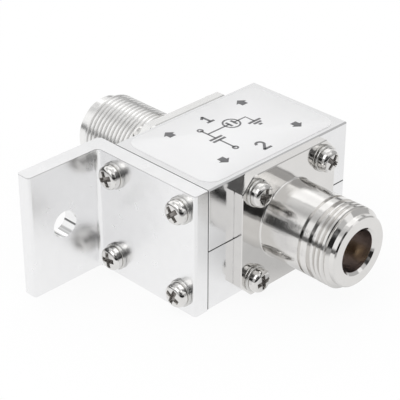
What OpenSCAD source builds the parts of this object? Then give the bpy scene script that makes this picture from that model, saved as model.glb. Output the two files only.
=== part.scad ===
// Coax lightning arrestor: a metal block in two halves with a coax jack on each end.
// Inside, a series capacitor blocks direct current and a gas tube carries surges to the block.
// An L bracket is screwed to one side of the block.
// The coax axis runs along X, the equipment jack points to +X and the bracket is on the -Y side.
// The block stands on z = 0, with the coax axis above the origin. Lengths are in millimetres.

/* [Housing] */
// Length of the block along the coax axis
housing_length = 24.5; // [24:0.1:32]
// Width of the block across the coax axis
housing_width = 37.7; // [36:0.1:50]
// Height of both halves together
housing_height = 25.4; // [25.4:0.1:36]
// Distance of the coax axis from the middle of the block, away from the bracket
axis_offset = 0.5; // [0:0.1:1.5]
// Chamfer on the outer edges of the block
housing_edge = 0.3; // [0.1:0.05:0.6]
// Chamfer on the edges where the two halves meet
joint_edge = 0.15; // [0.05:0.05:0.3]
// Thickness of the end walls that carry the jacks
end_wall = 4; // [3:0.1:4.8]
// Height of the cavity
cavity_height = 12.7; // [12:0.1:13.6]
// Radius of the milled cavity corners
cavity_corner = 2; // [1:0.1:3]

/* [Label] */
// Margin between the label and the ends of the block that carry the jacks
label_margin = 1.1; // [0.5:0.05:3]
// Margin between the label and the sides of the block
label_side_margin = 1.6; // [0.5:0.05:4]
// Corner radius of the label
label_corner = 3; // [1:0.1:5]
// Thickness of the label
label_thickness = 0.15; // [0.1:0.05:0.3]

/* [Bracket] */
// Thickness of the L angle
bracket_thickness = 3.175; // [2:0.025:5]
// Length of the free leg, measured from the side of the block
bracket_leg = 19.7; // [17:0.1:30]
// Distance of the free leg behind the rear end of the block
bracket_setback = 0.95; // [0:0.05:5]
// Fillet in the inner corner of the angle
bracket_fillet = 1; // [0.3:0.1:1.2]
// Radius on the outer corner of the angle
bracket_heel = 1; // [0.3:0.1:2]
// Radius on the ends of both legs
bracket_toe = 0.6; // [0.2:0.1:0.9]
// Diameter of the mounting hole
bracket_hole_d = 5.4; // [4:0.1:6.5]
// Distance of the mounting hole from the end of the free leg
bracket_hole_edge = 7.95; // [5:0.05:9]

/* [Fasteners] */
// Thread diameter of every screw
screw_d = 2.84; // [2.5:0.02:3]
// Diameter of the pan heads
head_d = 4.7; // [4.4:0.1:5.8]
// Height of the pan heads
head_height = 1.8; // [1.5:0.1:2.4]
// Rounding of the pan heads
head_round = 0.9; // [0.4:0.1:1.2]
// Span of the cross recess
recess_span = 3; // [2.4:0.1:3.2]
// Width of each wing of the cross recess
recess_wing = 0.8; // [0.4:0.05:0.9]
// Depth of the cross recess
recess_depth = 1.1; // [0.6:0.1:1.3]
// Length of the bracket screws under the head
bracket_screw_length = 9.5; // [7:0.1:11]
// Length of the flange screws under the head
flange_screw_length = 6.35; // [5:0.05:7]
// Distance between bracket screws along the coax axis
bracket_screw_span = 17.5; // [14:0.1:18]
// Distance between bracket screws in height
bracket_screw_rise = 17.5; // [17:0.1:18.5]
// Distance of the flange screws from the edges of the flange
flange_screw_inset = 3.57; // [3.2:0.01:4]
// Outer diameter of the split lock washers
washer_d = 5.3; // [4.8:0.1:5.6]
// Thickness of the split lock washers
washer_thickness = 0.65; // [0.5:0.05:0.9]
// Width of the slit in the lock washers
washer_slit = 0.4; // [0.2:0.05:0.6]
// Slant of the slit in the lock washers
washer_slant = 25; // [0:1:40]

/* [Jacks] */
// Side of the square flanges
flange_size = 25.4; // [25:0.1:25.4]
// Thickness of the flanges
flange_thickness = 2.1; // [1.6:0.1:3]
// Chamfer on the flange corners
flange_corner = 2.85; // [1:0.05:3.3]
// Chamfer on the flange edges
flange_edge = 0.15; // [0.05:0.05:0.3]
// Length of the equipment jack from the end of the block to its mouth
equipment_reach = 19; // [18:0.05:26]
// Length of the antenna jack from the end of the block to its mouth
antenna_reach = 25.05; // [18:0.05:32]
// Diameter of the plain barrel of the equipment jack
barrel_d = 15.8; // [15:0.1:16.4]
// Length of the plain barrel in front of the flange
barrel_length = 9; // [6:0.1:9.8]
// Fillet where the plain barrel meets the flange
barrel_fillet = 0.35; // [0.1:0.05:0.6]
// Width of the groove between barrel and collar
groove_width = 0.6; // [0.2:0.05:0.8]
// Depth of the grooves beside the threads
groove_depth = 0.45; // [0.2:0.05:0.8]
// Width of the collar between barrel and thread
collar_width = 1.45; // [0.8:0.05:2.4]
// Width of the relief between collar or flange and thread
thread_relief = 0.55; // [0.2:0.05:0.9]
// Outside diameter of the coupling threads
thread_d = 15.875; // [15:0.025:16.4]
// Pitch of the coupling threads
thread_pitch = 1.058; // [0.8:0.002:1.6]
// Width of the thread grooves at the outside diameter
thread_groove = 0.46; // [0.2:0.02:0.6]
// Length of the cone from the thread down to the nose
thread_cone = 0.85; // [0.4:0.05:1.2]
// Diameter of the plain nose in front of the thread
nose_d = 13.9; // [12.6:0.1:14.2]
// Length of the nose of the equipment jack
equipment_nose = 1.2; // [0.8:0.05:2.5]
// Length of the nose of the antenna jack
antenna_nose = 1.9; // [0.8:0.05:4]
// Chamfer on the rim of the nose
nose_chamfer = 0.25; // [0.1:0.05:0.5]
// Diameter of the mouth that takes the plug
mouth_d = 8.4; // [8:0.1:9]
// Depth of the mouth, down to the shoulder that the plug meets
mouth_depth = 9.1; // [8:0.1:10]
// Chamfer at the rim of the mouth
mouth_chamfer = 0.5; // [0.1:0.05:0.6]
// Diameter of the pilot that centres the jack in the block
pilot_d = 11; // [10.4:0.1:12]
// Length of the pilot
pilot_length = 2; // [1:0.1:2.6]

/* [Centre conductors] */
// Diameter of the insulator beads
insulator_d = 7; // [6.4:0.1:7.6]
// Diameter of the collar that traps each insulator
insulator_collar_d = 9.2; // [8.4:0.1:9.6]
// Length of the insulator collar
insulator_collar = 2.5; // [1.5:0.1:4]
// Diameter of the hole through the inner part of the end wall
wall_hole_d = 6; // [4:0.1:7]
// Outside diameter of the socket contacts
contact_d = 3.04; // [2.8:0.02:3.4]
// Diameter of the hole in the socket contacts
contact_hole_d = 1.63; // [1.4:0.01:1.8]
// Depth of the hole in the socket contacts
contact_hole_depth = 4.4; // [3:0.1:4.6]
// Width of the slots between the contact fingers
contact_slot = 0.35; // [0.2:0.05:0.5]
// Distance of the contact tip behind the rim of the mouth
contact_recess = 4.3; // [4.2:0.05:5]
// Rounding of the contact tips
contact_chamfer = 0.25; // [0.1:0.05:0.35]
// Diameter of the stems behind the contacts
stem_d = 2; // [1.6:0.1:2.4]

/* [Surge circuit] */
// Diameter of the capacitor plates
plate_d = 10; // [8:0.1:10.6]
// Thickness of the capacitor plates
plate_thickness = 1; // [0.6:0.1:1.2]
// Diameter of the hubs on the capacitor plates
hub_d = 4; // [3:0.1:5]
// Length of the hubs on the capacitor plates
hub_length = 1.6; // [1:0.1:2]
// Distance of the equipment hub from the end wall
hub_gap = 0.75; // [0.3:0.05:1.2]
// Thickness of the film between the capacitor plates
film_thickness = 0.6; // [0.2:0.1:1]
// Overlap of the film past the rim of the plates
film_overlap = 0.6; // [0.2:0.1:0.8]
// Side of the block that carries the gas tube on the antenna stem
tee_size = 5; // [4:0.1:5.6]
// Diameter of the gas tube
tube_d = 8; // [6:0.1:8.6]
// Length of the gas tube
tube_length = 6; // [5:0.1:7]
// Distance of the gas tube from the antenna end wall
tube_gap = 1; // [0.5:0.1:1.4]
// Wall thickness of the ceramic ring
ceramic_wall = 1; // [0.6:0.1:1.4]
// Thickness of the electrode rims
electrode_rim = 0.8; // [0.5:0.1:1.2]
// Diameter of the electrode faces inside the tube
electrode_d = 4; // [2:0.1:4.4]
// Spark gap between the electrodes
spark_gap = 1.2; // [0.6:0.1:1.6]
// Outer diameter of the disc springs
spring_d = 7.4; // [6:0.1:7.8]
// Hole in the disc springs
spring_hole_d = 3.4; // [2.4:0.1:4]
// Sheet thickness of the disc springs
spring_sheet = 0.45; // [0.3:0.05:0.6]
// Cone height of each disc spring
spring_cone = 0.55; // [0.3:0.05:0.8]

/* [Fits] */
// Radial clearance of screws in plain holes and washers
screw_clearance = 0.2; // [0.1:0.05:0.3]
// Radial clearance of screws in tapped holes
tap_clearance = 0.05; // [0.02:0.01:0.1]
// Depth of tapped holes past the end of the screw
tap_extra = 0.8; // [0.3:0.1:1]
// Radial clearance of the pilots in the block
pilot_clearance = 0.1; // [0.05:0.01:0.2]
// Radial clearance of insulators in the jacks
insulator_clearance = 0.04; // [0.02:0.01:0.1]
// Radial clearance of stems in insulators, hubs and the tee
stem_clearance = 0.03; // [0.02:0.01:0.1]

/* [Hidden] */
$fn = 96;

// Steps in a rounded profile, and the overrun of cutting shapes
arc_steps = 6;
over = 1;

axis_z = housing_height / 2;
half_height = housing_height / 2;
cavity_length = housing_length - 2 * end_wall;
spring_height = spring_sheet + spring_cone;
cavity_width = 2 * (tee_size / 2 + tube_length + 2 * spring_height);

block_y = -axis_offset;
bracket_side = block_y - housing_width / 2;
bracket_face = bracket_side - bracket_thickness;
plate_rear = -housing_length / 2 - bracket_setback - bracket_thickness;
plate_length = housing_length / 2 - plate_rear;
flange_screw_span = flange_size - 2 * flange_screw_inset;
bracket_screw_bite = bracket_screw_length - washer_thickness - bracket_thickness;
flange_screw_bite = flange_screw_length - washer_thickness - flange_thickness;

barrel_end = flange_thickness + barrel_length;
collar_start = barrel_end + groove_width;
collar_end = collar_start + collar_width;
equipment_thread_start = collar_end + thread_relief;
antenna_thread_start = flange_thickness + thread_relief + 2 * groove_depth;

// Angle of the thread's flanks from square to the axis
flank_angle = 30;

capacitor_x = cavity_length / 2 - hub_gap - hub_length - plate_thickness - film_thickness / 2;
tube_x = -cavity_length / 2 + tube_gap + tube_d / 2;

EQUIPMENT = 1;
ANTENNA = -1;

block_colour = [0.88, 0.88, 0.89];
bracket_colour = [0.86, 0.86, 0.87];
jack_colour = [0.76, 0.75, 0.73];
screw_colour = [0.7, 0.7, 0.7];
label_colour = [0.93, 0.93, 0.93];
insulator_colour = [0.95, 0.95, 0.93];
contact_colour = [0.83, 0.66, 0.32];
plate_colour = [0.8, 0.62, 0.35];
film_colour = [0.85, 0.6, 0.25];
ceramic_colour = [0.9, 0.88, 0.85];
electrode_colour = [0.7, 0.69, 0.66];

// Rectangle with 45 degree corners, centred
function cornered(a, b, c) = [
    [-a / 2 + c, -b / 2], [a / 2 - c, -b / 2], [a / 2, -b / 2 + c], [a / 2, b / 2 - c],
    [a / 2 - c, b / 2], [-a / 2 + c, b / 2], [-a / 2, b / 2 - c], [-a / 2, -b / 2 + c],
];

// Side view of a plate of length a and height h with chamfered upper and lower edges
function edged(a, h, upper, lower) = [
    [-a / 2 + lower, 0], [a / 2 - lower, 0], [a / 2, lower], [a / 2, h - upper],
    [a / 2 - upper, h], [-a / 2 + upper, h], [-a / 2, h - upper], [-a / 2, lower],
];

// Points of an arc from angle a0 to a1
function arc(centre, r, a0, a1) = [
    for (i = [0 : arc_steps])
        let (a = a0 + (a1 - a0) * i / arc_steps) centre + r * [cos(a), sin(a)]
];

// Distance of a point at x from the end face of the block on one side
function from_face(side, x) = side * x - housing_length / 2;

// Puts children on one end face of the block, with their Z pointing out along the coax axis
module on_end(side) {
    translate([side * housing_length / 2, 0, axis_z]) rotate([0, side * 90, 0]) children();
}

// Puts children on the coax axis at x, with their Z pointing to the equipment or antenna side
module on_axis(x, side) {
    translate([x, 0, axis_z]) rotate([0, side * 90, 0]) children();
}

// Repeats children at the four corners of a rectangle
module at_corners(a, b) {
    for (sa = [-1, 1], sb = [-1, 1]) translate([sa * a / 2, sb * b / 2, 0]) children();
}

// Block on z = 0 with 45 degree vertical corners and chamfered upper and lower edges
module edged_block(size, corner, upper, lower) {
    intersection() {
        linear_extrude(size.z) polygon(cornered(size.x, size.y, corner));
        rotate([90, 0, 0])
            linear_extrude(size.y, center = true) polygon(edged(size.x, size.z, upper, lower));
        rotate([90, 0, 90])
            linear_extrude(size.x, center = true) polygon(edged(size.y, size.z, upper, lower));
    }
}

// Rectangle with round corners, centred
module rounded_rectangle(a, b, r) {
    square([a - 2 * r, b], center = true);
    square([a, b - 2 * r], center = true);
    at_corners(a - 2 * r, b - 2 * r) circle(r);
}

// Solid of revolution about Z from points of radius and height
module turned(points) {
    rotate_extrude() polygon(points);
}

// Half of the block with its joint face on z = 0 and its outer face up
module housing_half() {
    difference() {
        translate([0, block_y, 0])
            edged_block([housing_length, housing_width, half_height], housing_edge, housing_edge, joint_edge);
        translate([0, 0, -cavity_height / 2])
            linear_extrude(cavity_height) rounded_rectangle(cavity_length, cavity_width, cavity_corner);
        for (side = [EQUIPMENT, ANTENNA])
            translate([side * housing_length / 2, 0, 0]) rotate([0, side * 90, 0]) jack_seat();
        translate([0, bracket_side + bracket_screw_bite + tap_extra, 0]) rotate([90, 0, 0])
            at_corners(bracket_screw_span, bracket_screw_rise) tapped_hole(bracket_screw_bite);
    }
}

// What a jack needs cut from an end wall: its pilot bore, the conductor hole and four tapped holes
module jack_seat() {
    translate([0, 0, -pilot_length]) cylinder(h = pilot_length + over, d = pilot_d + 2 * pilot_clearance);
    translate([0, 0, -end_wall - over]) cylinder(h = end_wall + over, d = wall_hole_d);
    translate([0, 0, -flange_screw_bite - tap_extra])
        at_corners(flange_screw_span, flange_screw_span) tapped_hole(flange_screw_bite);
}

// Blind hole for a screw that bites by the given depth, with its bottom on z = 0
module tapped_hole(bite) {
    cylinder(h = bite + tap_extra + over, d = screw_d + 2 * tap_clearance);
}

module housing_top() {
    color(block_colour) translate([0, 0, axis_z]) housing_half();
}

module housing_bottom() {
    color(block_colour) translate([0, 0, axis_z]) mirror([0, 0, 1]) housing_half();
}

module label() {
    length = housing_length - 2 * label_margin;
    width = housing_width - 2 * label_side_margin;
    color(label_colour) translate([0, block_y, housing_height])
        linear_extrude(label_thickness) rounded_rectangle(length, width, label_corner);
}

// What a rounding of radius r takes off a corner at the origin of the first quadrant
module corner_waste(r) {
    difference() {
        translate([-over, -over]) square(r + over);
        translate([r, r]) circle(r);
    }
}

// Section of the L angle with its outer corner on the origin
module angle_section() {
    difference() {
        union() {
            translate([0, -bracket_thickness]) square([plate_length, bracket_thickness]);
            translate([0, -bracket_leg]) square([bracket_thickness, bracket_leg]);
            translate([bracket_thickness, -bracket_thickness]) difference() {
                translate([0, -bracket_fillet]) square(bracket_fillet);
                translate([bracket_fillet, -bracket_fillet]) circle(bracket_fillet);
            }
        }
        rotate(-90) corner_waste(bracket_heel);
        translate([0, -bracket_leg]) corner_waste(bracket_toe);
        translate([bracket_thickness, -bracket_leg]) rotate(90) corner_waste(bracket_toe);
        translate([plate_length, -bracket_thickness]) rotate(90) corner_waste(bracket_toe);
    }
}

module mounting_bracket() {
    color(bracket_colour) difference() {
        translate([plate_rear, bracket_side, 0]) linear_extrude(housing_height) angle_section();
        translate([0, bracket_side + over, axis_z]) rotate([90, 0, 0])
            at_corners(bracket_screw_span, bracket_screw_rise)
                cylinder(h = bracket_thickness + 2 * over, d = screw_d + 2 * screw_clearance);
        translate([plate_rear - over, bracket_side - bracket_leg + bracket_hole_edge, axis_z])
            rotate([0, 90, 0]) cylinder(h = bracket_thickness + 2 * over, d = bracket_hole_d);
    }
}

// Pan head screw with its head above z = 0
module pan_screw(length) {
    shank_r = screw_d / 2;
    tip = tap_clearance + screw_d / 8;
    round_centre = [head_d / 2 - head_round, head_height - head_round];
    difference() {
        turned(concat(
            [[0, -length], [shank_r - tip, -length], [shank_r, -length + tip], [shank_r, 0], [head_d / 2, 0]],
            arc(round_centre, head_round, 0, 90),
            [[0, head_height]]
        ));
        translate([0, 0, head_height - recess_depth]) for (turn = [0, 90]) rotate(turn)
            translate([-recess_span / 2, -recess_wing / 2, 0]) cube([recess_span, recess_wing, recess_depth + over]);
        translate([0, 0, head_height - recess_depth])
            cylinder(h = recess_depth, d1 = recess_wing, d2 = 2 * recess_wing);
    }
}

// Split lock washer on z = 0
module lock_washer() {
    hole_d = screw_d + 2 * screw_clearance;
    difference() {
        cylinder(h = washer_thickness, d = washer_d);
        translate([0, 0, -over]) cylinder(h = washer_thickness + 2 * over, d = hole_d);
        translate([washer_d / 2, 0, washer_thickness / 2]) rotate([washer_slant, 0, 0])
            cube([washer_d, washer_slit, 4 * washer_thickness + over], center = true);
    }
}

// Places of the bracket screws, with Z pointing out of the bracket
module on_bracket(lift) {
    translate([0, bracket_face - lift, axis_z]) rotate([90, 0, 0])
        at_corners(bracket_screw_span, bracket_screw_rise) children();
}

// Places of the flange screws on one jack, with Z pointing out of the flange
module on_flange(side, lift) {
    on_end(side) translate([0, 0, flange_thickness + lift])
        at_corners(flange_screw_span, flange_screw_span) children();
}

module bracket_screws() {
    color(screw_colour) on_bracket(washer_thickness) pan_screw(bracket_screw_length);
}

module bracket_lock_washers() {
    color(screw_colour) on_bracket(0) lock_washer();
}

module equipment_flange_screws() {
    color(screw_colour) on_flange(EQUIPMENT, washer_thickness) pan_screw(flange_screw_length);
}

module equipment_lock_washers() {
    color(screw_colour) on_flange(EQUIPMENT, 0) lock_washer();
}

module antenna_flange_screws() {
    color(screw_colour) on_flange(ANTENNA, washer_thickness) pan_screw(flange_screw_length);
}

module antenna_lock_washers() {
    color(screw_colour) on_flange(ANTENNA, 0) lock_washer();
}

// Ring grooves at the pitch of a thread that runs from one height to another, as radius and height.
// The thread is shown by rings with its pitch and its flank angle, spread evenly along it.
function thread_grooves(bottom, top) = let (
    count = floor((top - bottom) / thread_pitch),
    first = (bottom + top - (count - 1) * thread_pitch) / 2,
    half_width = thread_groove / 2,
    depth = half_width / tan(flank_angle)
) [
    for (i = [0 : 1 : count - 1], step = [-1 : 1])
        [thread_d / 2 - (1 - abs(step)) * depth, first + i * thread_pitch + step * half_width]
];

// Outline of a jack from the start of its thread to its mouth, as radius and height
function thread_and_nose(start, reach, nose) = let (
    thread_end = reach - nose - thread_cone
) concat(
    [[thread_d / 2, start]],
    thread_grooves(start, thread_end),
    [
        [thread_d / 2, thread_end],
        [nose_d / 2, reach - nose],
        [nose_d / 2, reach - nose_chamfer],
        [nose_d / 2 - nose_chamfer, reach],
        [0, reach],
    ]
);

// Outline of the plain barrel, groove, collar and relief of the equipment jack
function barrel_and_collar() = let (
    barrel_r = barrel_d / 2,
    fillet_centre = [barrel_r + barrel_fillet, flange_thickness + barrel_fillet]
) concat(
    [[barrel_r + barrel_fillet, flange_thickness / 2]],
    arc(fillet_centre, barrel_fillet, 270, 180),
    [
        [barrel_r, barrel_end],
        [barrel_r - groove_depth, barrel_end],
        [barrel_r - groove_depth, collar_start],
        [barrel_r, collar_start],
        [barrel_r, collar_end],
        [thread_d / 2 - groove_depth, collar_end],
        [thread_d / 2 - groove_depth, equipment_thread_start],
    ]
);

// Outline of the thread run-out beside the flange of the antenna jack
function thread_run_out() = [
    [thread_d / 2 - 2 * groove_depth, flange_thickness / 2],
    [thread_d / 2 - 2 * groove_depth, flange_thickness + thread_relief],
];

// Turned and milled body of a jack on z = 0, with its pilot below
module jack(outline, reach) {
    difference() {
        union() {
            turned(concat(
                [[0, -pilot_length], [pilot_d / 2, -pilot_length], [pilot_d / 2, flange_thickness / 2]],
                outline
            ));
            edged_block([flange_size, flange_size, flange_thickness], flange_corner, flange_edge, flange_edge);
        }
        jack_bore(reach);
        translate([0, 0, -over]) at_corners(flange_screw_span, flange_screw_span)
            cylinder(h = flange_thickness + 2 * over, d = screw_d + 2 * screw_clearance);
    }
}

// Stepped bore of a jack, from the insulator collar to the mouth
module jack_bore(reach) {
    collar_r = insulator_collar_d / 2 + insulator_clearance;
    bead_r = insulator_d / 2 + insulator_clearance;
    turned([
        [0, -pilot_length - over],
        [collar_r, -pilot_length - over],
        [collar_r, insulator_collar - pilot_length],
        [bead_r, insulator_collar - pilot_length],
        [bead_r, reach - mouth_depth],
        [mouth_d / 2, reach - mouth_depth],
        [mouth_d / 2, reach - mouth_chamfer],
        [mouth_d / 2 + mouth_chamfer, reach],
        [mouth_d / 2 + mouth_chamfer, reach + over],
        [0, reach + over],
    ]);
}

module equipment_connector() {
    front = thread_and_nose(equipment_thread_start, equipment_reach, equipment_nose);
    color(jack_colour) on_end(EQUIPMENT) jack(concat(barrel_and_collar(), front), equipment_reach);
}

module antenna_connector() {
    front = thread_and_nose(antenna_thread_start, antenna_reach, antenna_nose);
    color(jack_colour) on_end(ANTENNA) jack(concat(thread_run_out(), front), antenna_reach);
}

// Insulator bead that fills a jack up to its shoulder, held by its collar
module insulator(reach) {
    stem_hole = stem_d / 2 + stem_clearance;
    turned([
        [stem_hole, -pilot_length],
        [insulator_collar_d / 2, -pilot_length],
        [insulator_collar_d / 2, insulator_collar - pilot_length],
        [insulator_d / 2, insulator_collar - pilot_length],
        [insulator_d / 2, reach - mouth_depth],
        [stem_hole, reach - mouth_depth],
    ]);
}

module equipment_insulator() {
    color(insulator_colour) on_end(EQUIPMENT) insulator(equipment_reach);
}

module antenna_insulator() {
    color(insulator_colour) on_end(ANTENNA) insulator(antenna_reach);
}

// Centre contact with a slotted socket, on a stem that ends at the given height
module contact(reach, stem_end) {
    tip = reach - contact_recess;
    difference() {
        turned([
            [0, stem_end],
            [stem_d / 2, stem_end],
            [stem_d / 2, reach - mouth_depth],
            [contact_d / 2, reach - mouth_depth],
            [contact_d / 2, tip - contact_chamfer],
            [contact_d / 2 - contact_chamfer, tip],
            [0, tip],
        ]);
        translate([0, 0, tip - contact_hole_depth])
            cylinder(h = contact_hole_depth + over, d = contact_hole_d);
        translate([0, 0, tip - contact_hole_depth]) for (turn = [0, 90]) rotate(turn)
            translate([-contact_d, -contact_slot / 2, 0])
                cube([2 * contact_d, contact_slot, contact_hole_depth + over]);
    }
}

module equipment_contact() {
    stem_end = capacitor_x + film_thickness / 2 + plate_thickness;
    color(contact_colour) on_end(EQUIPMENT)
        contact(equipment_reach, from_face(EQUIPMENT, stem_end));
}

module antenna_contact() {
    stem_end = capacitor_x - film_thickness / 2 - plate_thickness;
    color(contact_colour) on_end(ANTENNA)
        contact(antenna_reach, from_face(ANTENNA, stem_end));
}

// Capacitor plate with its film face on z = 0 and its hub up
module coupling_plate() {
    hub_end = plate_thickness + hub_length;
    stem_hole = stem_d / 2 + stem_clearance;
    turned([
        [0, 0],
        [plate_d / 2, 0],
        [plate_d / 2, plate_thickness],
        [hub_d / 2, plate_thickness],
        [hub_d / 2, hub_end],
        [stem_hole, hub_end],
        [stem_hole, plate_thickness],
        [0, plate_thickness],
    ]);
}

module antenna_coupling_plate() {
    color(plate_colour) on_axis(capacitor_x - film_thickness / 2, ANTENNA) coupling_plate();
}

module equipment_coupling_plate() {
    color(plate_colour) on_axis(capacitor_x + film_thickness / 2, EQUIPMENT) coupling_plate();
}

module coupling_film() {
    color(film_colour) on_axis(capacitor_x - film_thickness / 2, EQUIPMENT)
        cylinder(h = film_thickness, d = plate_d + 2 * film_overlap);
}

module line_tee() {
    color(plate_colour) difference() {
        translate([tube_x, 0, axis_z]) cube(tee_size, center = true);
        on_axis(tube_x - tee_size / 2 - over, EQUIPMENT)
            cylinder(h = tee_size + 2 * over, d = stem_d + 2 * stem_clearance);
    }
}

// Puts children on the side of the tee, with their Z pointing to the +Y wall
module on_tee(lift) {
    translate([tube_x, tee_size / 2 + lift, axis_z]) rotate([-90, 0, 0]) children();
}

module gas_tube_ceramic() {
    inner_r = tube_d / 2 - ceramic_wall;
    color(ceramic_colour) on_tee(electrode_rim) turned([
        [inner_r, 0],
        [tube_d / 2, 0],
        [tube_d / 2, tube_length - 2 * electrode_rim],
        [inner_r, tube_length - 2 * electrode_rim],
    ]);
}

// Electrode with its rim on z = 0 and its face up
module electrode() {
    face = (tube_length - spark_gap) / 2;
    turned([
        [0, 0],
        [tube_d / 2, 0],
        [tube_d / 2, electrode_rim],
        [electrode_d / 2, electrode_rim],
        [electrode_d / 2, face],
        [0, face],
    ]);
}

module gas_tube_line_electrode() {
    color(electrode_colour) on_tee(0) electrode();
}

module gas_tube_ground_electrode() {
    color(electrode_colour) on_tee(tube_length) mirror([0, 0, 1]) electrode();
}

// Conical disc spring with its inner rim on z = 0
module disc_spring() {
    turned([
        [spring_hole_d / 2, 0],
        [spring_d / 2, spring_cone],
        [spring_d / 2, spring_height],
        [spring_hole_d / 2, spring_sheet],
    ]);
}

module ground_spring() {
    color(screw_colour) {
        on_tee(tube_length) disc_spring();
        on_tee(tube_length + 2 * spring_height) mirror([0, 0, 1]) disc_spring();
    }
}

housing_top();
housing_bottom();
label();
mounting_bracket();
bracket_screws();
bracket_lock_washers();
equipment_connector();
equipment_flange_screws();
equipment_lock_washers();
equipment_insulator();
equipment_contact();
antenna_connector();
antenna_flange_screws();
antenna_lock_washers();
antenna_insulator();
antenna_contact();
antenna_coupling_plate();
coupling_film();
equipment_coupling_plate();
line_tee();
gas_tube_ceramic();
gas_tube_line_electrode();
gas_tube_ground_electrode();
ground_spring();
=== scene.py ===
# %% [markdown]
# # A coax lightning arrestor
# This lesson dresses one small metal part: a split block with a threaded coax jack at each end,
# four screws on each side that carries something, a printed label and an L bracket.
# The solids come from a CAD model. Each one either keeps its shape and gets a finish here,
# or is stood in for by a finer surface that is worked out with numpy.

# %% Load the frame
import bmesh
import bpy
import numpy as np
from mathutils import Matrix


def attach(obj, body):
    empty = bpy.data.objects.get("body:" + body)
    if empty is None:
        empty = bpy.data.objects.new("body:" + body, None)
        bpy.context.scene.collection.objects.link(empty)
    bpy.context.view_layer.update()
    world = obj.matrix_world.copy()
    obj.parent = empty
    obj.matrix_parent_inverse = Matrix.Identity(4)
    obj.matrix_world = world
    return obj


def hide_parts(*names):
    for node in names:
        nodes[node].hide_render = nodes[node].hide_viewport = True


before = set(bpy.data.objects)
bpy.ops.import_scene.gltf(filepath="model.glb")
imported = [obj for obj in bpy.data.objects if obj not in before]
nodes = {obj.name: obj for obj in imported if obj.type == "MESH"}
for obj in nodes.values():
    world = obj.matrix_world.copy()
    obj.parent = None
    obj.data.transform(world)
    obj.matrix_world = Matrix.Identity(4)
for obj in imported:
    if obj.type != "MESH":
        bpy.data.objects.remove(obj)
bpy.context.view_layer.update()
MM = 0.001

# %% [markdown]
# ## The camera
# The photograph was taken with a long lens from the front left and above.
# A camera could be aimed with a constraint, but it is only a place, three axes and a focal length,
# so it is built straight from those.
# The axes go into a matrix as columns: right, up, and backwards from the object.

# %% Looking at the part from an angle
def outwards(azimuth, elevation):
    """Direction from the part at an angle round it and above it, and the level direction to its right.
    At azimuth a and elevation e it is (sin a cos e, -cos a cos e, sin e)."""
    out = np.array([
        np.sin(azimuth) * np.cos(elevation),
        -np.cos(azimuth) * np.cos(elevation),
        np.sin(elevation),
    ])
    return out, np.array([np.cos(azimuth), np.sin(azimuth), 0.0])


def facing(right, up, back, place):
    """Matrix of a thing that looks against its third axis: three axes and a place, as columns."""
    placed = np.eye(4)
    placed[:3, :3] = np.stack([right, up, back], axis=1)
    placed[:3, 3] = place
    return Matrix(placed.tolist())


# %% The camera
AZIMUTH, ELEVATION, ROLL = np.radians([44.97, 30.36, 0.16])
AIM = np.array([-0.61, -8.49, 13.77]) * MM
DISTANCE = 274.02 * MM
FOCAL_LENGTH = 130.75
NEAREST = 0.01
FARTHEST = 20.0

back, level = outwards(AZIMUTH, ELEVATION)
rise = np.cross(back, level)
right = np.cos(ROLL) * level + np.sin(ROLL) * rise
up = -np.sin(ROLL) * level + np.cos(ROLL) * rise
camera_place = AIM + back * DISTANCE

scene = bpy.context.scene
camera = bpy.data.objects.new("camera", bpy.data.cameras.new("camera"))
scene.collection.objects.link(camera)
camera.matrix_world = facing(right, up, back, camera_place)
camera.data.lens = FOCAL_LENGTH
camera.data.clip_start = NEAREST
camera.data.clip_end = FARTHEST
scene.camera = camera
scene.view_settings.view_transform = "Standard"
print("camera at", np.round(camera_place / MM, 1), "mm")

# %% [markdown]
# ## From arrays to pieces
# Every new piece here is a patchwork of grids. A grid is an array of points in rows and columns,
# and its faces join each point to the next one along the row and up the column.
# Where two patches meet they have the same points, so merging the doubles closes the seam.
# Edges that turn sharply are marked sharp, and the rest is shaded smooth.

# %% A patch from a grid of points
def grid(points, wrap=True):
    """Patch from points[row, column]: each quad joins two neighbours in a row to the two above them.
    With wrap, the last column joins the first."""
    rows, columns = points.shape[:2]
    i, j = np.meshgrid(np.arange(rows - 1), np.arange(columns - (not wrap)), indexing="ij")
    k = (j + 1) % columns
    quads = np.stack([
        i * columns + j,
        i * columns + k,
        (i + 1) * columns + k,
        (i + 1) * columns + j,
    ], axis=-1)
    return points.reshape(-1, 3), quads.reshape(-1, 4)


# %% A piece from patches
MERGE = 1e-6


def make_piece(name, patches, replaced=(), sharp_angle=32, depth=None):
    """One mesh object from patches in millimetres: points are stacked, and the face numbers of a patch
    move up by the points before it. A depth for the first points is kept as an attribute,
    for the finish to read. The others have none."""
    starts = np.cumsum([0] + [len(patch[0]) for patch in patches])
    points = np.concatenate([patch[0] for patch in patches]) * MM
    quads = np.concatenate([patch[1] + start for patch, start in zip(patches, starts)])
    mesh = bpy.data.meshes.new(name)
    mesh.from_pydata(points.tolist(), [], quads.tolist())
    if depth is not None:
        depth = np.pad(depth, (0, len(points) - len(depth))).astype(np.float32)
        mesh.attributes.new("depth", "FLOAT", "POINT").data.foreach_set("value", depth)
    work = bmesh.new()
    work.from_mesh(mesh)
    bmesh.ops.remove_doubles(work, verts=work.verts, dist=MERGE)
    bmesh.ops.dissolve_degenerate(work, edges=work.edges, dist=MERGE)
    bmesh.ops.recalc_face_normals(work, faces=work.faces)
    open_edges = sum(edge.is_boundary or not edge.is_manifold for edge in work.edges)
    work.to_mesh(mesh)
    work.free()
    mesh.shade_smooth()
    mesh.set_sharp_from_angle(angle=np.radians(sharp_angle))
    piece = bpy.data.objects.new(name, mesh)
    scene.collection.objects.link(piece)
    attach(piece, "root")
    if replaced:
        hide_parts(*replaced)
    print(name, "faces", len(mesh.polygons), "open edges", open_edges)
    return piece


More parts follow.
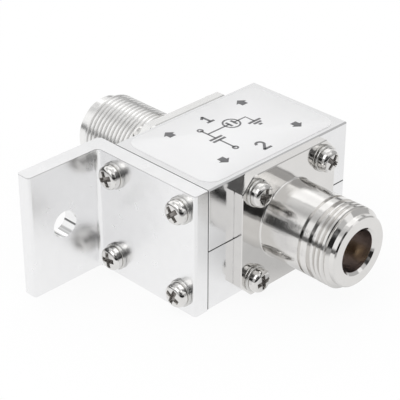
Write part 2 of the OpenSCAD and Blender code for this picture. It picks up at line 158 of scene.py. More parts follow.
# %% [markdown]
# ## The jacks
# Each jack is one piece of plated brass: a square flange with cut corners and four holes, and a turned
# body with a coupling thread. The body could be spun from a curve, but the thread is a helix,
# so its radius is a function of both the way along the axis and the angle around it.
# A lathe tool leaves flat crests and roots with straight flanks between them.
# The chamfer at the mouth end is a cone, and the thread is simply the smaller of the two radii,
# which gives the true run-out.

# %% Placing and turning
BLOCK_HALF = 12.25
AXIS_Z = 12.7
EQUIPMENT_SIDE = 1
ANTENNA_SIDE = -1
AROUND = 192
TURN = np.linspace(0.0, 2 * np.pi, AROUND, endpoint=False)


def jack_place(t, y, z, side):
    """Distance t from the block's end face, and y and z from the coax axis, as points in the part's frame.
    The antenna side is the same thing turned half round a vertical line."""
    return np.stack([side * (BLOCK_HALF + t), side * y, AXIS_Z + z], axis=-1)


def turned(profile, side):
    """Profile of (t, radius) rows carried round the axis: y = r cos a and z = r sin a for each angle a."""
    t, r = np.asarray(profile, float).T[:, :, None] * np.ones(AROUND)
    return grid(jack_place(t, r * np.cos(TURN), r * np.sin(TURN), side))


print("coax axis at height", AXIS_Z, "mm,", AROUND, "points round it")

# %% The helical thread
THREAD_R = 7.9375
THREAD_PITCH = 1.0583
THREAD_DEPTH = 0.5
THREAD_CORNERS = np.array([0.0, 0.4, 0.65, 0.75, 1.0])
CORNER_LOSS = np.array([0.0, 0.0, 1.0, 1.0, 0.0])


def radius_lost(phase):
    """Radius lost at a phase of the thread from 0 to 1: none on the crest, all of the depth on the root,
    and straight flanks between."""
    return np.interp(phase % 1.0, THREAD_CORNERS, CORNER_LOSS) * THREAD_DEPTH


def thread(t0, t1, limit, side, steps):
    """Rows follow the helix: row m at angle a lies at t0 + pitch * (m + a / full turn),
    held between t0 and t1. The radius is the thread's own there, but no more than limit(t).
    The depth is what it lacks to that, as a share of the whole.
    Each crest, flank and root has this many steps."""
    angle = np.linspace(0.0, 2 * np.pi, AROUND + 1)
    part_turn = angle / (2 * np.pi)
    spans = np.diff(THREAD_CORNERS)
    one_turn = (THREAD_CORNERS[:-1, None] + spans[:, None] * np.arange(steps) / steps).ravel()
    turns = np.arange(-1, int((t1 - t0) / THREAD_PITCH) + 2)
    rows = (turns[:, None] + one_turn).ravel()
    t = np.clip(t0 + THREAD_PITCH * (rows[:, None] + part_turn), t0, t1)
    r = np.minimum(THREAD_R - radius_lost((t - t0) / THREAD_PITCH - part_turn), limit(t))
    depth = (limit(t) - r) / THREAD_DEPTH
    return grid(jack_place(t, r * np.cos(angle), r * np.sin(angle), side), wrap=False), depth.ravel()


print("thread", 2 * THREAD_R, "mm across, pitch", THREAD_PITCH, "mm")

# %% The outline of the square flange
FLANGE_HALF = 12.7
FLANGE_CUT = 2.85


def flange_outline(half, cut, steps=8):
    """Quarter of a square with a cut corner, from the middle of one side to the middle of the next."""
    corner = np.array([[0.0, half], [half - cut, half], [half, half - cut], [half, 0.0]])
    along = np.concatenate([np.linspace(k, k + 1, steps, endpoint=False) for k in range(3)] + [[3.0]])
    return np.stack([np.interp(along, range(4), corner[:, c]) for c in range(2)], axis=-1)


def quarter_rim(inner_r, half, cut, steps=4):
    """Closed loop round a quarter of the flange: along the barrel, out, round the outline and back in."""
    a = np.linspace(0.0, np.pi / 2, AROUND // 4 + 1)
    arc = inner_r * np.stack([np.cos(a), np.sin(a)], axis=-1)
    out = np.linspace(inner_r, half, steps + 1)[1:-1]
    up_line = np.stack([0 * out, out], axis=-1)
    back_line = np.stack([out[::-1], 0 * out], axis=-1)
    return np.concatenate([arc, up_line, flange_outline(half, cut), back_line])


print("flange", 2 * FLANGE_HALF, "mm square")

# %% The faces and walls of the flange
FLANGE_T = 2.1
FLANGE_EDGE = 0.15
SCREW_OUT = 9.13
SCREW_HOLE_R = 1.62
PILOT_R = 5.5


def flange(front_r, side):
    """Faces run from each screw hole to the rim of its quarter, and walls join front and back.
    A quarter turn of a point (y, z) is (-z, y)."""
    inset_half = FLANGE_HALF - FLANGE_EDGE
    inset_cut = FLANGE_CUT - (2 - np.sqrt(2)) * FLANGE_EDGE
    front_rim = quarter_rim(front_r, inset_half, inset_cut)
    back_rim = quarter_rim(PILOT_R, inset_half, inset_cut)
    to_rim = front_rim - SCREW_OUT
    hole = SCREW_OUT + SCREW_HOLE_R * to_rim / np.linalg.norm(to_rim, axis=1, keepdims=True)
    face_loops = [(front_rim, FLANGE_T), (hole, FLANGE_T), (hole, 0.0), (back_rim, 0.0)]
    inset = flange_outline(inset_half, inset_cut)
    outer = flange_outline(FLANGE_HALF, FLANGE_CUT)
    edge_loops = [(inset, FLANGE_T), (outer, FLANGE_T - FLANGE_EDGE), (outer, FLANGE_EDGE), (inset, 0.0)]
    patches = []
    for loops, wrap in ((face_loops, True), (edge_loops, False)):
        y, z = np.stack([loop for loop, t in loops]).transpose(2, 0, 1)
        t = np.array([t for loop, t in loops])[:, None] + 0 * y
        for quarter in range(4):
            patches.append(grid(jack_place(t, y, z, side), wrap))
            y, z = -z, y
    return patches


print("flange screws", 2 * SCREW_OUT, "mm apart")

# %% The mouth, and how far out a thread may go
NOSE_R = 6.95
NOSE_EDGE = 0.25
CONE = 0.85
MOUTH_R = 4.2
MOUTH_EDGE = 0.5
MOUTH_DEEP = 9.1
BEAD_R = 3.54
BEAD_COLLAR_R = 4.64
BEAD_COLLAR_END = 0.5
PILOT_T = 2.0


def mouth_profile(reach, nose):
    """Rows of (t, radius) from the end of the cone over the nose, down the mouth and out past the pilot."""
    return [[reach - nose, NOSE_R], [reach - NOSE_EDGE, NOSE_R], [reach, NOSE_R - NOSE_EDGE],
            [reach, MOUTH_R + MOUTH_EDGE], [reach - MOUTH_EDGE, MOUTH_R], [reach - MOUTH_DEEP, MOUTH_R],
            [reach - MOUTH_DEEP, BEAD_R], [BEAD_COLLAR_END, BEAD_R], [BEAD_COLLAR_END, BEAD_COLLAR_R],
            [-PILOT_T, BEAD_COLLAR_R], [-PILOT_T, PILOT_R], [0.0, PILOT_R]]


def thread_limit(start, start_r, full, reach, nose):
    """Largest radius at t: up the run-out from start to full, level from there,
    and down the cone to the nose."""
    t = [start, full, reach - nose - CONE, reach - nose]
    r = [start_r, THREAD_R, THREAD_R, NOSE_R]
    return lambda at: np.interp(at, t, r)


print("mouth", 2 * MOUTH_R, "mm across,", MOUTH_DEEP, "mm deep")

# %% The equipment jack: barrel, groove, collar, groove and a short thread
EQUIPMENT_REACH = 19.0
EQUIPMENT_NOSE = 1.2
BARREL_R = 7.9
BARREL_FILLET = 0.35
BARREL_END = 11.1
GROOVE_R = 7.45
COLLAR_START = 11.7
COLLAR_END = 13.15
RELIEF_R = 7.3
TURNED_EDGE = 0.06
SHORT_START = 13.7
SHORT_RISE = 0.35
SHORT_STEPS = 4


def fillet(t, r, size, points=7):
    """Quarter circle that leads from the flange face at t up to the barrel of radius r."""
    a = np.linspace(0.0, np.pi / 2, points)
    return np.stack([t + size * (1 - np.cos(a)), r + size * (1 - np.sin(a))], axis=-1)


front_profile = np.concatenate([
    fillet(FLANGE_T, BARREL_R, BARREL_FILLET),
    [[BARREL_END - TURNED_EDGE, BARREL_R], [BARREL_END, BARREL_R - TURNED_EDGE], [BARREL_END, GROOVE_R],
     [COLLAR_START, GROOVE_R], [COLLAR_START, BARREL_R - TURNED_EDGE], [COLLAR_START + TURNED_EDGE, BARREL_R],
     [COLLAR_END - TURNED_EDGE, BARREL_R], [COLLAR_END, BARREL_R - TURNED_EDGE], [COLLAR_END, RELIEF_R],
     [SHORT_START, RELIEF_R]],
])
short_end = EQUIPMENT_REACH - EQUIPMENT_NOSE
short_limit = thread_limit(SHORT_START, RELIEF_R, SHORT_START + SHORT_RISE, EQUIPMENT_REACH, EQUIPMENT_NOSE)
short_thread, short_depth = thread(SHORT_START, short_end, short_limit, EQUIPMENT_SIDE, SHORT_STEPS)
equipment_patches = [
    short_thread,
    turned(front_profile, EQUIPMENT_SIDE),
    turned(mouth_profile(EQUIPMENT_REACH, EQUIPMENT_NOSE), EQUIPMENT_SIDE),
] + flange(BARREL_R + BARREL_FILLET, EQUIPMENT_SIDE)
equipment_jack = make_piece("equipment_jack", equipment_patches, ["equipment_connector"],
                            depth=short_depth)

# %% The antenna jack: a thread all the way
ANTENNA_REACH = 25.05
ANTENNA_NOSE = 1.9
RUN_OUT_R = 7.04
RUN_OUT_START = 2.65
RUN_OUT_END = 3.55
LONG_STEPS = 2
long_end = ANTENNA_REACH - ANTENNA_NOSE
long_limit = thread_limit(RUN_OUT_START, RUN_OUT_R, RUN_OUT_END, ANTENNA_REACH, ANTENNA_NOSE)
long_thread, long_depth = thread(RUN_OUT_START, long_end, long_limit, ANTENNA_SIDE, LONG_STEPS)
antenna_patches = [
    long_thread,
    turned([[FLANGE_T, RUN_OUT_R], [RUN_OUT_START, RUN_OUT_R]], ANTENNA_SIDE),
    turned(mouth_profile(ANTENNA_REACH, ANTENNA_NOSE), ANTENNA_SIDE),
] + flange(RUN_OUT_R, ANTENNA_SIDE)
antenna_jack = make_piece("antenna_jack", antenna_patches, ["antenna_connector"],
                          depth=long_depth)

# %% [markdown]
# ## Screws and lock washers
# Twelve cross-recessed pan head screws hold the bracket and both flanges, each on a split lock washer.
# A boolean cut would leave ragged faces round the small recess, so the head is a height over a disc instead:
# a crown that falls to the rim, less the depth of a cross whose walls lean in.
# The washer is a rounded bar bent round almost a full turn.

# %% The cross recess
WING_HALF = 0.4
WING_REACH = 1.5
HUB_R = 0.64
RECESS_DEPTH = 1.1
FLOOR_RISE = 0.42
WALL_LEAN = 0.1


def recess(x, y):
    """Depth of the cross: how far a point is inside the two bars or the hub, eased over the lean of the wall,
    times a floor that rises outwards."""
    bars = [np.minimum(WING_REACH - np.abs(a), WING_HALF - np.abs(b)) for a, b in ((x, y), (y, x))]
    out = np.hypot(x, y)
    inside = np.clip(np.maximum(np.maximum(*bars), HUB_R - out) / WALL_LEAN + 0.5, 0.0, 1.0)
    floor = RECESS_DEPTH * (1.0 - FLOOR_RISE * np.clip(out / WING_REACH, 0.0, 1.0))
    return inside * floor


print("recess", 2 * WING_REACH, "mm across,", RECESS_DEPTH, "mm deep")

# %% One screw as a height over a disc
HEAD_R = 2.35
HEAD_T = 1.8
HEAD_SIDE = 0.7
HEAD_UNDERCUT = 0.15
CROWN_POWER = 5.0
SHANK_R = 1.42
SHANK_EDGE = 0.4
SCREW_AROUND = 96
RECESS_ROWS = np.linspace(0.0, 1.7, 35)
SHOULDER_ROWS = np.linspace(1.75, 2.1, 5)
RIM_ANGLES = np.linspace(1.19, np.pi / 2, 9)
FLANGE_SCREW = 6.35
BRACKET_SCREW = 9.5


def screw_points(length):
    """Rows of the screw from the middle of the head to the tip, and how deep each point is in the recess.
    The crown falls as the root of 1 - (r / R) ** power, which is a flattened quarter ellipse."""
    a = np.linspace(0.0, 2 * np.pi, SCREW_AROUND, endpoint=False)
    out = np.concatenate([RECESS_ROWS, SHOULDER_ROWS, HEAD_R * np.sin(RIM_ANGLES)])
    fall = np.sqrt(np.clip(1.0 - (out / HEAD_R) ** CROWN_POWER, 0.0, 1.0))
    crown = HEAD_SIDE + (HEAD_T - HEAD_SIDE) * fall
    x = out[:, None] * np.cos(a)
    y = out[:, None] * np.sin(a)
    cut = recess(x, y)
    top = np.stack([x, y, crown[:, None] - cut], axis=-1)
    lower = np.array([[HEAD_R, HEAD_UNDERCUT], [HEAD_R - HEAD_UNDERCUT, 0.0], [SHANK_R, 0.0],
                      [SHANK_R, SHANK_EDGE - length], [SHANK_R - SHANK_EDGE, -length], [0.0, -length]])
    r, z = lower.T[:, :, None]
    body = np.stack([r * np.cos(a), r * np.sin(a), z + 0 * a], axis=-1)
    depth = np.concatenate([cut / RECESS_DEPTH, np.zeros(body.shape[:2])])
    return np.concatenate([top, body]), depth.ravel()


flange_screw, head_depth = screw_points(FLANGE_SCREW)
bracket_screw = screw_points(BRACKET_SCREW)[0]
print("screw rows and columns", flange_screw.shape[:2])

# %% One lock washer as a bent bar
WASHER_OUT = 2.65
WASHER_IN = 1.62
WASHER_T = 0.65
WASHER_SLIT = 0.4
WASHER_LEAN = 0.45
WASHER_ROWS = 73
BAR_AROUND = 24
BAR_POWER = 0.45


def squared(wave):
    """A sine or cosine drawn out towards 1 and -1: its size to a power below 1, with its own sign.
    Two of these make a rectangle with round corners out of a circle."""
    return np.sign(wave) * np.abs(wave) ** BAR_POWER


def washer_points():
    """A rounded rectangle of section carried round the circle, from one side of the slit to the other.
    Its ends lean with height, and shrink to a point so that they close."""
    b = np.linspace(0.0, 2 * np.pi, BAR_AROUND, endpoint=False)
    radial = (WASHER_OUT - WASHER_IN) / 2 * squared(np.cos(b))
    lift = WASHER_T / 2 * squared(np.sin(b))
    half_slit = WASHER_SLIT / 2 / WASHER_OUT
    turn = np.linspace(half_slit, 2 * np.pi - half_slit, WASHER_ROWS)
    turn = np.concatenate([[turn[0]], turn, [turn[-1]]])[:, None]
    size = np.concatenate([[0.0], np.ones(WASHER_ROWS), [0.0]])[:, None]
    r = (WASHER_OUT + WASHER_IN) / 2 + size * radial
    leaning = turn + WASHER_LEAN * size * lift / WASHER_OUT
    return np.stack([r * np.cos(leaning), r * np.sin(leaning), WASHER_T / 2 + size * lift], axis=-1)


washer = washer_points()
print("washer rows and columns", washer.shape[:2])

# %% Ways to lay a fastener on the part
BRACKET_FACE = -22.525
BRACKET_OUT = 8.75
CORNERS = [(-1, -1), (1, -1), (-1, 1), (1, 1)]


def twisted(points, twist):
    """The two coordinates across a fastener's axis after a turn: x cos - y sin, and x sin + y cos."""
    u = points[..., 0] * np.cos(twist) - points[..., 1] * np.sin(twist)
    v = points[..., 0] * np.sin(twist) + points[..., 1] * np.cos(twist)
    return u, v


def on_jack(points, y, z, twist, lift, side):
    """Turns a fastener by its own twist, then lays its axis along the coax axis at (y, z) on a flange."""
    u, v = twisted(points, twist)
    return jack_place(FLANGE_T + lift + points[..., 2], y + u, z + v, side)


def on_bracket(points, x, z, twist, lift):
    """Turns a fastener by its own twist, then lays its axis along -Y on the outer face of the bracket."""
    u, v = twisted(points, twist)
    return np.stack([x + u, BRACKET_FACE - lift - points[..., 2], AXIS_Z + z + v], axis=-1)


def four(lay, points, out, twists, lift, *side):
    """The same fastener at the corners of a square: at corner (a, b) its axis is at (out a, out b)."""
    return [grid(lay(points, out * a, out * b, twist, lift, *side))
            for (a, b), twist in zip(CORNERS, np.radians(twists))]


print("corners", CORNERS)

# %% Put a screw and a washer at every corner
WASHER_SHARP = 50
SCREW_TWISTS = {
    "equipment": [8, 20, 75, 52],
    "antenna": [12, 75, 33, 50],
    "bracket": [10, 66, 26, 41],
}
WASHER_TWISTS = {
    "equipment": [20, 310, 60, 340],
    "antenna": [40, 130, 290, 220],
    "bracket": [300, 250, 210, 230],
}
heads_depth = np.tile(head_depth, len(CORNERS))
screws = []
washers = []
for place, side in (("equipment", EQUIPMENT_SIDE), ("antenna", ANTENNA_SIDE)):
    heads = four(on_jack, flange_screw, SCREW_OUT, SCREW_TWISTS[place], WASHER_T, side)
    rings = four(on_jack, washer, SCREW_OUT, WASHER_TWISTS[place], 0.0, side)
    screws.append(make_piece(place + "_screws", heads, [place + "_flange_screws"],
                             depth=heads_depth))
    washers.append(make_piece(place + "_washers", rings, [place + "_lock_washers"],
                              WASHER_SHARP))
heads = four(on_bracket, bracket_screw, BRACKET_OUT, SCREW_TWISTS["bracket"], WASHER_T)
rings = four(on_bracket, washer, BRACKET_OUT, WASHER_TWISTS["bracket"], 0.0)
screws.append(make_piece("plate_screws", heads, ["bracket_screws"], depth=heads_depth))
washers.append(make_piece("plate_washers", rings, ["bracket_lock_washers"], WASHER_SHARP))

# %% [markdown]
# ## The label and its print
# The label is a thin grey film with round corners.
# Its print is a wiring sign, two port numbers and four arrows.
# Ink could be painted with a texture, but thin raised ink is crisp from any distance,
# so each arrow is a small flat prism and each line is a ribbon that follows a path.
# On the label, "up" is towards the antenna jack and "right" is away from the bracket.

# %% The label film
LABEL_MID_Y = -0.5
LABEL_HALF_X = 11.15
LABEL_HALF_Y = 17.25
LABEL_ROUND = 3.0
LABEL_Z = 25.4
LABEL_SHARP = 60
FILM_T = 0.125
FILM_EDGE = 0.03


def round_rectangle(half_x, half_y, r, steps=12):
    """Outline of a rectangle with round corners: four quarter circles, joined by the straight sides."""
    a = np.linspace(0.0, np.pi / 2, steps)[None, :] + np.arange(4)[:, None] * np.pi / 2
    middle_x = np.array([1, -1, -1, 1])[:, None] * (half_x - r)
    middle_y = np.array([1, 1, -1, -1])[:, None] * (half_y - r)
    return np.stack([middle_x + r * np.cos(a), middle_y + r * np.sin(a)], axis=-1).reshape(-1, 2)


def plate(outline, middle, z0, z1, edge):
    """Flat prism: loops run from the middle of the underside out, up the side, over a small edge
    and back to the middle."""
    inner = middle + (outline - middle) * (1.0 - edge / np.linalg.norm(outline - middle, axis=1).max())
    dot = np.repeat([middle], len(outline), axis=0)
    loops = [(dot, z0), (outline, z0), (outline, z1 - edge), (inner, z1), (dot, z1)]
    return grid(np.stack([np.column_stack([loop, np.full(len(loop), z)]) for loop, z in loops]))


film_middle = np.array([0.0, LABEL_MID_Y])
film_outline = round_rectangle(LABEL_HALF_X, LABEL_HALF_Y, LABEL_ROUND) + film_middle
film = plate(film_outline, film_middle, LABEL_Z, LABEL_Z + FILM_T, FILM_EDGE)
label_film = make_piece("label_film", [film], ["label"], LABEL_SHARP)

# %% Arrows
INK_Z = LABEL_Z + FILM_T
INK_T = 0.02
INK_EDGE = 0.004
ARROW_HALF = np.array([[0.0, 0.0], [-1.15, 1.35], [-1.15, 0.75], [-2.2, 0.75]])
ARROW_MIDDLE = 1.25
ARROW_TIPS = [(-8.75, -9.67, -1), (-8.54, 9.63, -1), (7.65, -9.5, 1), (7.6, 10.35, 1)]


def arrow(tip_x, tip_y, way):
    """House-shaped arrow that points along X: a triangle on a shorter, narrower tail. way is 1 or -1."""
    shape = np.concatenate([ARROW_HALF, ARROW_HALF[:0:-1] * [1.0, -1.0]])
    outline = np.array([tip_x, tip_y]) + shape * [way, 1.0]
    return plate(outline, np.array([tip_x - ARROW_MIDDLE * way, tip_y]), INK_Z, INK_Z + INK_T, INK_EDGE)


arrows = [arrow(*tip) for tip in ARROW_TIPS]
print("arrows", len(arrows))

# %% Lines of ink, and the numbers of the ports
THICK = 0.55
THIN = 0.36


def ribbon(path, width):
    """Flat line of ink along a path of (right, up) points: four corners of a thin bar at every point.
    Sideways at a point is the direction between its two neighbours, turned a quarter.
    A path that comes back to its start is joined there, and any other is closed by a point at each end."""
    path = np.asarray(path, float)
    joined = np.allclose(path[0], path[-1])
    flat = np.column_stack([-path[:, 1], path[:, 0] + LABEL_MID_Y])
    ahead = np.gradient(flat, axis=0)
    if joined:
        ahead[[0, -1]] = ahead[0] + ahead[-1]
    ahead /= np.linalg.norm(ahead, axis=1, keepdims=True)
    across = np.column_stack([-ahead[:, 1], ahead[:, 0]]) * width / 2
    top = INK_Z + INK_T
    rails = [(flat + across, INK_Z), (flat - across, INK_Z), (flat - across, top), (flat + across, top)]
    bar = np.stack([np.column_stack([rail, np.full(len(rail), z)]) for rail, z in rails], axis=1)
    if joined:
        return grid(bar)
    ends = np.repeat(bar[[0, -1]].mean(axis=1, keepdims=True), 4, axis=1)
    return grid(np.concatenate([ends[:1], bar, ends[1:]]))


def ring_path(right_at, up_at, r, start=0.0, end=360.0, steps=49):
    """Points of a circle, or a part of one, in (right, up)."""
    a = np.radians(np.linspace(start, end, steps))
    return np.column_stack([right_at + r * np.cos(a), up_at + r * np.sin(a)])


# The point at the top of the 1 is nearly doubled, so that the stroke turns sharply there.
one_stroke = [[-0.65, 7.55], [0.15, 8.3], [0.15, 8.3001], [0.15, 5.9]]
one_foot = [[-0.75, 5.9], [1.05, 5.9]]
two_bowl = np.concatenate([ring_path(0.15, -6.9, 0.78, 170.0, -40.0, 25), [[-0.75, -8.9]]])
two_foot = [[-0.95, -8.9], [1.15, -8.9]]
numbers = [one_stroke, one_foot, two_bowl, two_foot]
print("strokes of the numbers", len(numbers))

# %% The wiring sign: a capacitor in the line, and a gas tube from the line to earth
line = [[[-4.0, 4.6], [-4.0, 0.45]], [[-4.0, -0.45], [-4.0, -4.6]]]
ports = [ring_path(-4.0, 4.6, 0.5), ring_path(-4.0, -4.6, 0.5)]
capacitor = [[[-5.6, 0.45], [-2.4, 0.45]], [[-5.6, -0.45], [-2.4, -0.45]]]
tube = [ring_path(2.4, 2.6, 1.7), [[-4.0, 2.6], [1.75, 2.6]], [[3.05, 2.6], [6.2, 2.6], [6.2, 0.2]]]
electrodes = [[[1.75, 1.7], [1.75, 3.5]], [[3.05, 1.7], [3.05, 3.5]]]
earth = [[[4.6, 0.2], [7.8, 0.2]], [[5.2, -0.6], [7.2, -0.6]], [[5.8, -1.4], [6.6, -1.4]]]
thin_ink = [ribbon(path, THIN) for path in line + ports + tube]
thick_ink = [ribbon(path, THICK) for path in numbers + capacitor + electrodes + earth]
label_print = make_piece("label_print", arrows + thin_ink + thick_ink, [], LABEL_SHARP)

# %% [markdown]
# ## Finishes
# Each finish is one Principled shader. A value that is the same all over is set on its socket.
# What varies comes from noise on Object coordinates, so it keeps its place and size on the metal:
# a slight change of tone, a change of polish, and a bump of a few thousandths of a millimetre
# for the tool marks.
# Some places look different: the dark seams of the block and the hole of the bracket,
# and places of painted shade: a thin grey line along the top edge of the bracket, the bores of the jacks,
# with a warm tint that paints the reflection of the gold contact, and the thread grooves and cross recesses.
# They could be pieces of their own, but a mask by place or by depth leaves each piece in one.
# The antenna jack wears a lighter copy of the jack plating, painted lighter for the brighter light on it.

# %% A helper for finishes
NOISE_LOW = 0.3
NOISE_HIGH = 0.7
TONE_DETAIL = 4.0
GRAIN_DETAIL = 3.0
GRAIN_HEIGHT = 0.02 * MM


def finish(name, colour, metallic, rough, tone=0.03, tone_scale=300.0, rough_spread=0.06,
           grain=(1.0, 1.0, 1.0), grain_scale=2500.0, bump=0.05, specular=0.5):
    """Principled material: colour and roughness drift with a soft noise,
    and a stretched fine noise makes the bump."""
    material = bpy.data.materials.new(name)
    material.use_nodes = True
    tree = material.node_tree
    shader = tree.nodes["Principled BSDF"]
    shader.inputs["Metallic"].default_value = metallic
    shader.inputs["Specular IOR Level"].default_value = specular

    where = tree.nodes.new("ShaderNodeTexCoord")
    soft = tree.nodes.new("ShaderNodeTexNoise")
    soft.inputs["Scale"].default_value = tone_scale
    soft.inputs["Detail"].default_value = TONE_DETAIL
    tree.links.new(where.outputs["Object"], soft.inputs["Vector"])

    tones = tree.nodes.new("ShaderNodeValToRGB")
    darker = tones.color_ramp.elements[0]
    lighter = tones.color_ramp.elements[1]
    darker.position = NOISE_LOW
    lighter.position = NOISE_HIGH
    darker.color = [*(c * (1 - tone) for c in colour), 1.0]
    lighter.color = [*(min(c * (1 + tone), 1.0) for c in colour), 1.0]
    tree.links.new(soft.outputs["Fac"], tones.inputs["Fac"])
    tree.links.new(tones.outputs["Color"], shader.inputs["Base Color"])

    polish = tree.nodes.new("ShaderNodeMapRange")
    polish.inputs["From Min"].default_value = NOISE_LOW
    polish.inputs["From Max"].default_value = NOISE_HIGH
    polish.inputs["To Min"].default_value = rough - rough_spread / 2
    polish.inputs["To Max"].default_value = rough + rough_spread / 2
    tree.links.new(soft.outputs["Fac"], polish.inputs["Value"])
    tree.links.new(polish.outputs["Result"], shader.inputs["Roughness"])

    stretch = tree.nodes.new("ShaderNodeMapping")
    stretch.inputs["Scale"].default_value = grain
    fine = tree.nodes.new("ShaderNodeTexNoise")
    fine.inputs["Scale"].default_value = grain_scale
    fine.inputs["Detail"].default_value = GRAIN_DETAIL
    marks = tree.nodes.new("ShaderNodeBump")
    marks.inputs["Strength"].default_value = bump
    marks.inputs["Distance"].default_value = GRAIN_HEIGHT
    tree.links.new(where.outputs["Object"], stretch.inputs["Vector"])
    tree.links.new(stretch.outputs["Vector"], fine.inputs["Vector"])
    tree.links.new(fine.outputs["Fac"], marks.inputs["Height"])
    tree.links.new(marks.outputs["Normal"], shader.inputs["Normal"])
    return material


def wear(material, pieces):
    """Gives these objects the material as their only one."""
    for piece in pieces:
        piece.data.materials.clear()
        piece.data.materials.append(material)
    print(material.name, "on", [piece.name for piece in pieces])


# %% Places where a finish changes
def coordinate(tree, axis):
    """One Object coordinate in metres, as X, Y or Z."""
    where = tree.nodes.new("ShaderNodeTexCoord")
    split = tree.nodes.new("ShaderNodeSeparateXYZ")
    tree.links.new(where.outputs["Object"], split.inputs["Vector"])
    return split.outputs[axis]


def near_plane(material, axis, at, reach):
    """1 where the coordinate is within reach of a plane, in millimetres, and otherwise 0."""
    tree = material.node_tree
    compare = tree.nodes.new("ShaderNodeMath")
    compare.operation = "COMPARE"
    compare.inputs[1].default_value = at * MM
    compare.inputs[2].default_value = reach * MM
    tree.links.new(coordinate(tree, axis), compare.inputs[0])
    return compare.outputs[0]


def in_bore(material, y, z, r):
    """1 where the distance from a line along X at (y, z) is below r, in millimetres, and otherwise 0."""
    tree = material.node_tree
    where = tree.nodes.new("ShaderNodeTexCoord")
    shift = tree.nodes.new("ShaderNodeMapping")
    shift.inputs["Location"].default_value = (0.0, -y * MM, -z * MM)
    shift.inputs["Scale"].default_value = (0.0, 1.0, 1.0)
    length = tree.nodes.new("ShaderNodeVectorMath")
    length.operation = "LENGTH"
    less = tree.nodes.new("ShaderNodeMath")
    less.operation = "LESS_THAN"
    less.inputs[1].default_value = r * MM
    tree.links.new(where.outputs["Object"], shift.inputs["Vector"])
    tree.links.new(shift.outputs["Vector"], length.inputs[0])
    tree.links.new(length.outputs["Value"], less.inputs[0])
    return less.outputs[0]


def in_depth(material):
    """The depth that a piece keeps for each of its points, from 0 on the surface to 1 at the bottom."""
    deep = material.node_tree.nodes.new("ShaderNodeAttribute")
    deep.attribute_name = "depth"
    return deep.outputs["Fac"]


def change(material, share, colour, rough):
    """Mixes another colour and roughness into a finish, by a share from 0 to 1.
    A Mix node keeps numbers and colours on sockets of their own, so the places of the two differ."""
    tree = material.node_tree
    shader = tree.nodes["Principled BSDF"]
    mixes = (("Base Color", "RGBA", 6, 2, (*colour, 1.0)), ("Roughness", "FLOAT", 2, 0, rough))
    for socket, kind, first, result, value in mixes:
        mix = tree.nodes.new("ShaderNodeMix")
        mix.data_type = kind
        tree.links.new(share, mix.inputs[0])
        tree.links.new(shader.inputs[socket].links[0].from_socket, mix.inputs[first])
        mix.inputs[first + 1].default_value = value
        tree.links.new(mix.outputs[result], shader.inputs[socket])


# %% The block and the bracket
SEAM_DARK = (0.06, 0.06, 0.06)
SEAM_ROUGH = 0.6
SPLIT_HALF = 0.11
BRACKET_BACK = -19.35
BRACKET_SEAM = 0.25
# Painted shade on a thin line along the top edge of the bracket.
EDGE_LINE_Z = 25.33
EDGE_LINE_HALF = 0.06
EDGE_PAINTED_SHADE = (0.5, 0.5, 0.5)
EDGE_ROUGH = 0.4
LEG_HOLE_Y = -31.1
LEG_HOLE_R = 2.75
LEG_HOLE_BRIGHT = (0.9, 0.9, 0.9)
LEG_HOLE_ROUGH = 0.08
block_metal = finish("satin_block", (0.89, 0.89, 0.895), 1.0, 0.13, tone=0.02,
                     grain=(1.0, 0.15, 1.0), grain_scale=4000.0, bump=0.04)
change(block_metal, near_plane(block_metal, "Z", AXIS_Z, SPLIT_HALF), SEAM_DARK, SEAM_ROUGH)
change(block_metal, near_plane(block_metal, "Y", BRACKET_BACK, BRACKET_SEAM), SEAM_DARK, SEAM_ROUGH)
bracket_metal = finish("satin_bracket", (0.92, 0.92, 0.925), 1.0, 0.26, tone=0.012, tone_scale=500.0,
                       grain_scale=6000.0, bump=0.03, rough_spread=0.03)
# Painted shade: a thin grey line along the bracket's top edge.
change(bracket_metal, near_plane(bracket_metal, "Z", EDGE_LINE_Z, EDGE_LINE_HALF), EDGE_PAINTED_SHADE, EDGE_ROUGH)
change(bracket_metal, in_bore(bracket_metal, LEG_HOLE_Y, AXIS_Z, LEG_HOLE_R), LEG_HOLE_BRIGHT, LEG_HOLE_ROUGH)
wear(block_metal, [nodes["housing_top"], nodes["housing_bottom"]])
wear(bracket_metal, [nodes["mounting_bracket"]])

# %% The jacks, screws and washers
# Painted shade in the bores of the jacks: darker, with a warm tint that paints the reflection of the gold
# contact.
BORE_R = MOUTH_R + 0.03
BORE_PAINTED_SHADE = (0.68, 0.62, 0.6)
BORE_ROUGH = 0.25
jack_metal = finish("plated_jack", (0.78, 0.768, 0.752), 1.0, 0.085, tone=0.02,
                    grain=(10.0, 0.3, 0.3), grain_scale=1200.0, bump=0.55, rough_spread=0.04)
# The same plating as the equipment jack, in a lighter copy painted for the brighter light on the antenna
# jack.
antenna_lit_metal = finish("plated_antenna_jack_lit_copy", (0.9, 0.895, 0.885), 1.0, 0.22, tone=0.02,
                       grain=(10.0, 0.3, 0.3), grain_scale=1200.0, bump=0.05)
screw_metal = finish("bright_screw", (0.76, 0.75, 0.735), 1.0, 0.1, tone=0.03, tone_scale=900.0, bump=0.12)
washer_metal = finish("bright_washer", (0.66, 0.655, 0.64), 1.0, 0.2, tone=0.04, bump=0.1)
# Paint the shade and the gold reflection into both bores.
for plated in (jack_metal, antenna_lit_metal):
    change(plated, in_bore(plated, 0.0, AXIS_Z, BORE_R), BORE_PAINTED_SHADE, BORE_ROUGH)
# Painted shade in the thread grooves of both jacks: the deeper the groove, the darker.
change(jack_metal, in_depth(jack_metal), (0.68, 0.668, 0.652), 0.12)
change(antenna_lit_metal, in_depth(antenna_lit_metal), (0.62, 0.615, 0.61), 0.3)
